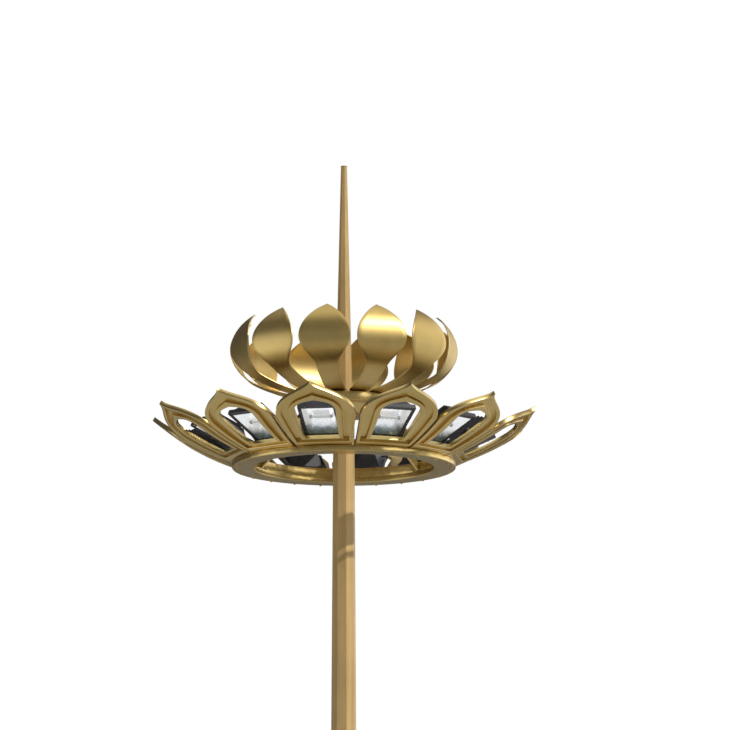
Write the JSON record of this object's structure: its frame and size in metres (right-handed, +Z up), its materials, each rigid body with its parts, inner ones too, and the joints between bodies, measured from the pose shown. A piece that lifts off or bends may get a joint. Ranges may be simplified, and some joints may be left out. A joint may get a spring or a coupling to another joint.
{
  "type": "high mast floodlight tower",
  "caption": "Tapered octagonal high mast with a ring of petal frames that hold tilting floodlights, a closed lotus of upper petals above it and a slim spire.",
  "frame": {"origin": "centre of the base plate's underside, on the mast's axis", "axes": "+Z up the mast, -Y towards petal 01 and the access door, +X to the right of that side"},
  "size_m": [3.9082, 3.9082, 18.0806],
  "materials": {
    "gold": "metallic gold lacquer, satin",
    "bronze": "metallic gold-brown lacquer, satin",
    "slate": "dark slate powder coat",
    "housing": "dark slate powder coat on die-cast aluminium",
    "glass": "clear toughened glass"
  },
  "bodies": {
    "tower": {"base_plate": "bronze", "base_gussets": "bronze", "mast_lower": "bronze", "access_door": "bronze", "mast_upper": "bronze", "mast_head": "bronze", "ring_beam": "gold", "lamp_rail": "gold", "ring_stays": "gold", "stirrups": "slate", "hub": "gold", "upper_petals": "gold", "petal_clamp": "gold", "spire": "bronze", "lower_petal_01": "gold", "lower_petal_02": "gold", "lower_petal_03": "gold", "lower_petal_04": "gold", "lower_petal_05": "gold", "lower_petal_06": "gold", "lower_petal_07": "gold", "lower_petal_08": "gold", "lower_petal_09": "gold", "lower_petal_10": "gold", "lower_petal_11": "gold", "lower_petal_12": "gold"},
    "floodlight_01": {"floodlight_01": "housing", "glass_01": "glass"},
    "floodlight_02": {"floodlight_02": "housing", "glass_02": "glass"},
    "floodlight_03": {"floodlight_03": "housing", "glass_03": "glass"},
    "floodlight_04": {"floodlight_04": "housing", "glass_04": "glass"},
    "floodlight_05": {"floodlight_05": "housing", "glass_05": "glass"},
    "floodlight_06": {"floodlight_06": "housing", "glass_06": "glass"},
    "floodlight_07": {"floodlight_07": "housing", "glass_07": "glass"},
    "floodlight_08": {"floodlight_08": "housing", "glass_08": "glass"},
    "floodlight_09": {"floodlight_09": "housing", "glass_09": "glass"},
    "floodlight_10": {"floodlight_10": "housing", "glass_10": "glass"},
    "floodlight_11": {"floodlight_11": "housing", "glass_11": "glass"},
    "floodlight_12": {"floodlight_12": "housing", "glass_12": "glass"}
  },
  "joints": [
    {"name": "floodlight_tilt_01", "type": "hinge", "parent": "tower", "child": "floodlight_01", "pos_m": [0, -1.29547, 15.32293], "axis": [1, 0, 0], "range_deg": [-8, 8]},
    {"name": "floodlight_tilt_02", "type": "hinge", "parent": "tower", "child": "floodlight_02", "pos_m": [0.64773, -1.12191, 15.32293], "axis": [0.866, 0.5, 0], "range_deg": [-8, 8]},
    {"name": "floodlight_tilt_03", "type": "hinge", "parent": "tower", "child": "floodlight_03", "pos_m": [1.12191, -0.64773, 15.32293], "axis": [0.5, 0.866, 0], "range_deg": [-8, 8]},
    {"name": "floodlight_tilt_04", "type": "hinge", "parent": "tower", "child": "floodlight_04", "pos_m": [1.29547, 0, 15.32293], "axis": [0, 1, 0], "range_deg": [-8, 8]},
    {"name": "floodlight_tilt_05", "type": "hinge", "parent": "tower", "child": "floodlight_05", "pos_m": [1.12191, 0.64773, 15.32293], "axis": [-0.5, 0.866, 0], "range_deg": [-8, 8]},
    {"name": "floodlight_tilt_06", "type": "hinge", "parent": "tower", "child": "floodlight_06", "pos_m": [0.64773, 1.12191, 15.32293], "axis": [-0.866, 0.5, 0], "range_deg": [-8, 8]},
    {"name": "floodlight_tilt_07", "type": "hinge", "parent": "tower", "child": "floodlight_07", "pos_m": [0, 1.29547, 15.32293], "axis": [-1, 0, 0], "range_deg": [-8, 8]},
    {"name": "floodlight_tilt_08", "type": "hinge", "parent": "tower", "child": "floodlight_08", "pos_m": [-0.64773, 1.12191, 15.32293], "axis": [-0.866, -0.5, 0], "range_deg": [-8, 8]},
    {"name": "floodlight_tilt_09", "type": "hinge", "parent": "tower", "child": "floodlight_09", "pos_m": [-1.12191, 0.64773, 15.32293], "axis": [-0.5, -0.866, 0], "range_deg": [-8, 8]},
    {"name": "floodlight_tilt_10", "type": "hinge", "parent": "tower", "child": "floodlight_10", "pos_m": [-1.29547, 0, 15.32293], "axis": [0, -1, 0], "range_deg": [-8, 8]},
    {"name": "floodlight_tilt_11", "type": "hinge", "parent": "tower", "child": "floodlight_11", "pos_m": [-1.12191, -0.64773, 15.32293], "axis": [0.5, -0.866, 0], "range_deg": [-8, 8]},
    {"name": "floodlight_tilt_12", "type": "hinge", "parent": "tower", "child": "floodlight_12", "pos_m": [-0.64773, -1.12191, 15.32293], "axis": [0.866, -0.5, 0], "range_deg": [-8, 8]}
  ]
}
